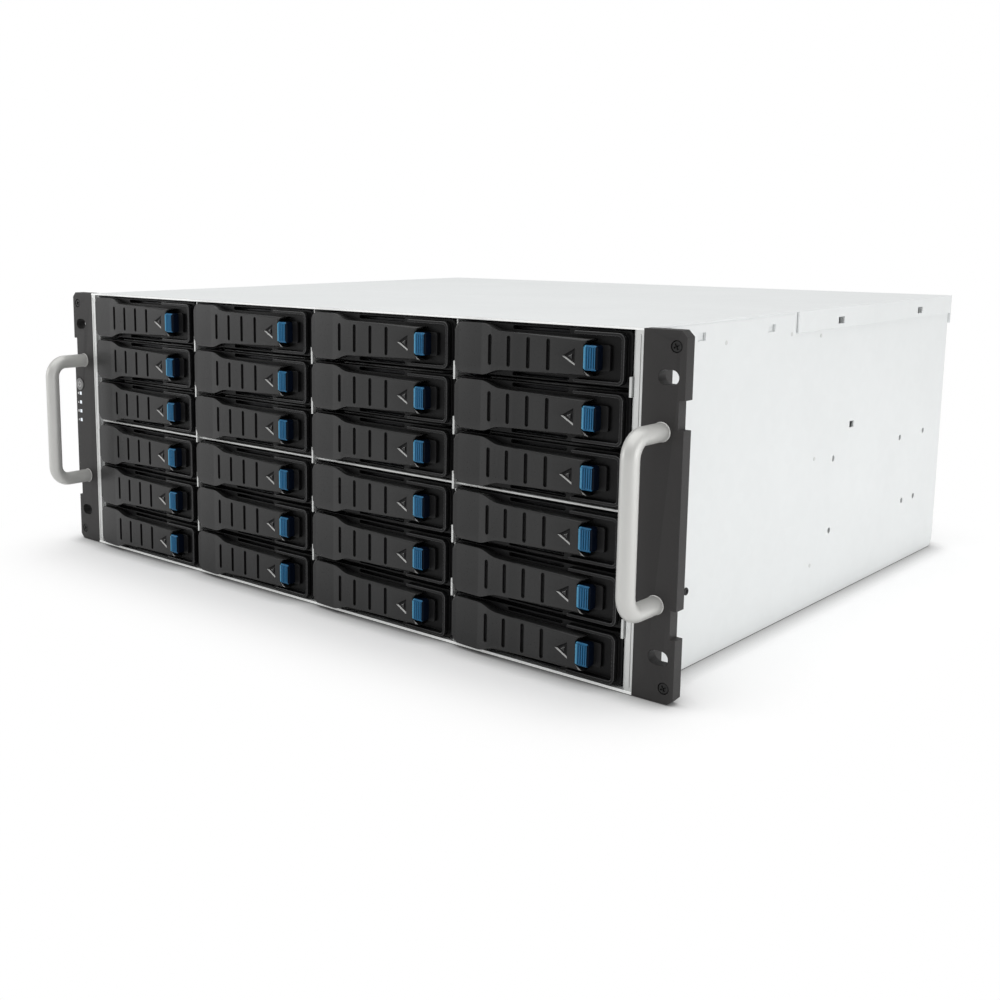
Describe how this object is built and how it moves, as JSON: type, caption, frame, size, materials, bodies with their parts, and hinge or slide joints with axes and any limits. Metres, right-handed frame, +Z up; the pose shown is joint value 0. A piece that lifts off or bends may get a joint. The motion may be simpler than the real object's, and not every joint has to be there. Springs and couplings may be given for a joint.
{
  "type": "disk shelf enclosure",
  "caption": "Rack disk shelf with sliding drive trays, swing levers, sliding catches, bar handles, fans and plug-in power supplies.",
  "frame": {"origin": "underside, on the centre line, in the rack plane where the ears' rear faces lie", "axes": "+X to the right seen from the front, +Y back into the rack, +Z up"},
  "size_m": [0.4826, 0.4506, 0.177],
  "materials": {
    "board_green": "solder mask",
    "button_black": "satin",
    "catch_blue": "satin blue",
    "ear_black": "matte black",
    "fan_black": "matte",
    "galvanised": "pale galvanised sheet",
    "handle_silver": "satin",
    "knob_silver": "knurled",
    "lens_clear": "clear",
    "module_grey": "plated sheet",
    "runner_grey": "moulded",
    "socket_black": "matte",
    "tray_black": "satin black"
  },
  "bodies": {
    "chassis": {"chassis_tub": "galvanised", "front_cover": "galvanised", "rear_panel": "galvanised", "drive_cage": "galvanised", "tray_runners": "runner_grey", "mid_shelf": "galvanised", "backplane_board": "board_green", "backplane_sockets": "socket_black", "fan_wall": "galvanised", "fan_frames": "fan_black", "expander_board": "board_green", "port_cages": "galvanised", "psu_cage": "galvanised", "left_ear": "ear_black", "right_ear": "ear_black", "left_handle": "handle_silver", "right_handle": "handle_silver", "status_lenses": "lens_clear", "control_board": "board_green"},
    "rear_cover": {"rear_cover": "galvanised"},
    "thumbscrew_left": {"thumbscrew_left": "knob_silver"},
    "thumbscrew_right": {"thumbscrew_right": "knob_silver"},
    "power_button": {"power_button": "button_black"},
    "psu_1": {"psu_1": "module_grey"},
    "psu_2": {"psu_2": "module_grey"},
    "fan_rotor_1": {"fan_rotor_1": "fan_black"},
    "fan_rotor_2": {"fan_rotor_2": "fan_black"},
    "fan_rotor_3": {"fan_rotor_3": "fan_black"},
    "tray_r1c1": {"tray_r1c1": "tray_black"},
    "tray_r1c2": {"tray_r1c2": "tray_black"},
    "tray_r1c3": {"tray_r1c3": "tray_black"},
    "tray_r1c4": {"tray_r1c4": "tray_black"},
    "tray_r2c1": {"tray_r2c1": "tray_black"},
    "tray_r2c2": {"tray_r2c2": "tray_black"},
    "tray_r2c3": {"tray_r2c3": "tray_black"},
    "tray_r2c4": {"tray_r2c4": "tray_black"},
    "tray_r3c1": {"tray_r3c1": "tray_black"},
    "tray_r3c2": {"tray_r3c2": "tray_black"},
    "tray_r3c3": {"tray_r3c3": "tray_black"},
    "tray_r3c4": {"tray_r3c4": "tray_black"},
    "tray_r4c1": {"tray_r4c1": "tray_black"},
    "tray_r4c2": {"tray_r4c2": "tray_black"},
    "tray_r4c3": {"tray_r4c3": "tray_black"},
    "tray_r4c4": {"tray_r4c4": "tray_black"},
    "tray_r5c1": {"tray_r5c1": "tray_black"},
    "tray_r5c2": {"tray_r5c2": "tray_black"},
    "tray_r5c3": {"tray_r5c3": "tray_black"},
    "tray_r5c4": {"tray_r5c4": "tray_black"},
    "tray_r6c1": {"tray_r6c1": "tray_black"},
    "tray_r6c2": {"tray_r6c2": "tray_black"},
    "tray_r6c3": {"tray_r6c3": "tray_black"},
    "tray_r6c4": {"tray_r6c4": "tray_black"},
    "lever_r1c1": {"lever_r1c1": "tray_black"},
    "lever_r1c2": {"lever_r1c2": "tray_black"},
    "lever_r1c3": {"lever_r1c3": "tray_black"},
    "lever_r1c4": {"lever_r1c4": "tray_black"},
    "catch_r1c1": {"catch_r1c1": "catch_blue"},
    "catch_r1c2": {"catch_r1c2": "catch_blue"},
    "catch_r1c3": {"catch_r1c3": "catch_blue"},
    "catch_r1c4": {"catch_r1c4": "catch_blue"}
  },
  "joints": [
    {"name": "tray_r1c1_slide", "type": "slide", "parent": "chassis", "child": "tray_r1c1", "axis": [0, -1, 0], "range_m": [0, 0.15]},
    {"name": "tray_r1c2_slide", "type": "slide", "parent": "chassis", "child": "tray_r1c2", "axis": [0, -1, 0], "range_m": [0, 0.15]},
    {"name": "tray_r1c3_slide", "type": "slide", "parent": "chassis", "child": "tray_r1c3", "axis": [0, -1, 0], "range_m": [0, 0.15]},
    {"name": "tray_r1c4_slide", "type": "slide", "parent": "chassis", "child": "tray_r1c4", "axis": [0, -1, 0], "range_m": [0, 0.15]},
    {"name": "tray_r2c1_slide", "type": "slide", "parent": "chassis", "child": "tray_r2c1", "axis": [0, -1, 0], "range_m": [0, 0.15]},
    {"name": "tray_r2c2_slide", "type": "slide", "parent": "chassis", "child": "tray_r2c2", "axis": [0, -1, 0], "range_m": [0, 0.15]},
    {"name": "tray_r2c3_slide", "type": "slide", "parent": "chassis", "child": "tray_r2c3", "axis": [0, -1, 0], "range_m": [0, 0.15]},
    {"name": "tray_r2c4_slide", "type": "slide", "parent": "chassis", "child": "tray_r2c4", "axis": [0, -1, 0], "range_m": [0, 0.15]},
    {"name": "tray_r3c1_slide", "type": "slide", "parent": "chassis", "child": "tray_r3c1", "axis": [0, -1, 0], "range_m": [0, 0.15]},
    {"name": "tray_r3c2_slide", "type": "slide", "parent": "chassis", "child": "tray_r3c2", "axis": [0, -1, 0], "range_m": [0, 0.15]},
    {"name": "tray_r3c3_slide", "type": "slide", "parent": "chassis", "child": "tray_r3c3", "axis": [0, -1, 0], "range_m": [0, 0.15]},
    {"name": "tray_r3c4_slide", "type": "slide", "parent": "chassis", "child": "tray_r3c4", "axis": [0, -1, 0], "range_m": [0, 0.15]},
    {"name": "tray_r4c1_slide", "type": "slide", "parent": "chassis", "child": "tray_r4c1", "axis": [0, -1, 0], "range_m": [0, 0.15]},
    {"name": "tray_r4c2_slide", "type": "slide", "parent": "chassis", "child": "tray_r4c2", "axis": [0, -1, 0], "range_m": [0, 0.15]},
    {"name": "tray_r4c3_slide", "type": "slide", "parent": "chassis", "child": "tray_r4c3", "axis": [0, -1, 0], "range_m": [0, 0.15]},
    {"name": "tray_r4c4_slide", "type": "slide", "parent": "chassis", "child": "tray_r4c4", "axis": [0, -1, 0], "range_m": [0, 0.15]},
    {"name": "tray_r5c1_slide", "type": "slide", "parent": "chassis", "child": "tray_r5c1", "axis": [0, -1, 0], "range_m": [0, 0.15]},
    {"name": "tray_r5c2_slide", "type": "slide", "parent": "chassis", "child": "tray_r5c2", "axis": [0, -1, 0], "range_m": [0, 0.15]},
    {"name": "tray_r5c3_slide", "type": "slide", "parent": "chassis", "child": "tray_r5c3", "axis": [0, -1, 0], "range_m": [0, 0.15]},
    {"name": "tray_r5c4_slide", "type": "slide", "parent": "chassis", "child": "tray_r5c4", "axis": [0, -1, 0], "range_m": [0, 0.15]},
    {"name": "tray_r6c1_slide", "type": "slide", "parent": "chassis", "child": "tray_r6c1", "axis": [0, -1, 0], "range_m": [0, 0.15]},
    {"name": "tray_r6c2_slide", "type": "slide", "parent": "chassis", "child": "tray_r6c2", "axis": [0, -1, 0], "range_m": [0, 0.15]},
    {"name": "tray_r6c3_slide", "type": "slide", "parent": "chassis", "child": "tray_r6c3", "axis": [0, -1, 0], "range_m": [0, 0.15]},
    {"name": "tray_r6c4_slide", "type": "slide", "parent": "chassis", "child": "tray_r6c4", "axis": [0, -1, 0], "range_m": [0, 0.15]},
    {"name": "lever_r1c1_swing", "type": "hinge", "parent": "tray_r1c1", "child": "lever_r1c1", "pos_m": [-0.20825, -0.0085, 0.1616], "axis": [0, 0, -1], "range_deg": [0, 60]},
    {"name": "catch_r1c1_slide", "type": "slide", "parent": "lever_r1c1", "child": "catch_r1c1", "axis": [1, 0, 0], "range_m": [0, 0.0035], "stiffness_N_per_m": 300, "springref_m": -0.002},
    {"name": "lever_r1c2_swing", "type": "hinge", "parent": "tray_r1c2", "child": "lever_r1c2", "pos_m": [-0.10155, -0.0085, 0.1616], "axis": [0, 0, -1], "range_deg": [0, 60]},
    {"name": "catch_r1c2_slide", "type": "slide", "parent": "lever_r1c2", "child": "catch_r1c2", "axis": [1, 0, 0], "range_m": [0, 0.0035], "stiffness_N_per_m": 300, "springref_m": -0.002},
    {"name": "lever_r1c3_swing", "type": "hinge", "parent": "tray_r1c3", "child": "lever_r1c3", "pos_m": [0.00515, -0.0085, 0.1616], "axis": [0, 0, -1], "range_deg": [0, 60]},
    {"name": "catch_r1c3_slide", "type": "slide", "parent": "lever_r1c3", "child": "catch_r1c3", "axis": [1, 0, 0], "range_m": [0, 0.0035], "stiffness_N_per_m": 300, "springref_m": -0.002},
    {"name": "lever_r1c4_swing", "type": "hinge", "parent": "tray_r1c4", "child": "lever_r1c4", "pos_m": [0.11185, -0.0085, 0.1616], "axis": [0, 0, -1], "range_deg": [0, 60]},
    {"name": "catch_r1c4_slide", "type": "slide", "parent": "lever_r1c4", "child": "catch_r1c4", "axis": [1, 0, 0], "range_m": [0, 0.0035], "stiffness_N_per_m": 300, "springref_m": -0.002},
    {"name": "rear_cover_slide", "type": "slide", "parent": "chassis", "child": "rear_cover", "axis": [0, 1, 0], "range_m": [0, 0.02]},
    {"name": "thumbscrew_left_turn", "type": "hinge", "parent": "rear_cover", "child": "thumbscrew_left", "pos_m": [-0.15, 0.4, 0.166], "axis": [0, 1, 0], "continuous": true},
    {"name": "thumbscrew_right_turn", "type": "hinge", "parent": "rear_cover", "child": "thumbscrew_right", "pos_m": [0.15, 0.4, 0.166], "axis": [0, 1, 0], "continuous": true},
    {"name": "fan_rotor_1_spin", "type": "hinge", "parent": "chassis", "child": "fan_rotor_1", "pos_m": [-0.14, 0.1925, 0.0885], "axis": [0, 1, 0], "continuous": true},
    {"name": "fan_rotor_2_spin", "type": "hinge", "parent": "chassis", "child": "fan_rotor_2", "pos_m": [0, 0.1925, 0.0885], "axis": [0, 1, 0], "continuous": true},
    {"name": "fan_rotor_3_spin", "type": "hinge", "parent": "chassis", "child": "fan_rotor_3", "pos_m": [0.14, 0.1925, 0.0885], "axis": [0, 1, 0], "continuous": true},
    {"name": "psu_1_slide", "type": "slide", "parent": "chassis", "child": "psu_1", "axis": [0, 1, 0], "range_m": [0, 0.165]},
    {"name": "psu_2_slide", "type": "slide", "parent": "chassis", "child": "psu_2", "axis": [0, 1, 0], "range_m": [0, 0.165]},
    {"name": "power_button_press", "type": "slide", "parent": "chassis", "child": "power_button", "axis": [0, 1, 0], "range_m": [0, 0.0011], "stiffness_N_per_m": 400, "springref_m": -0.001}
  ]
}
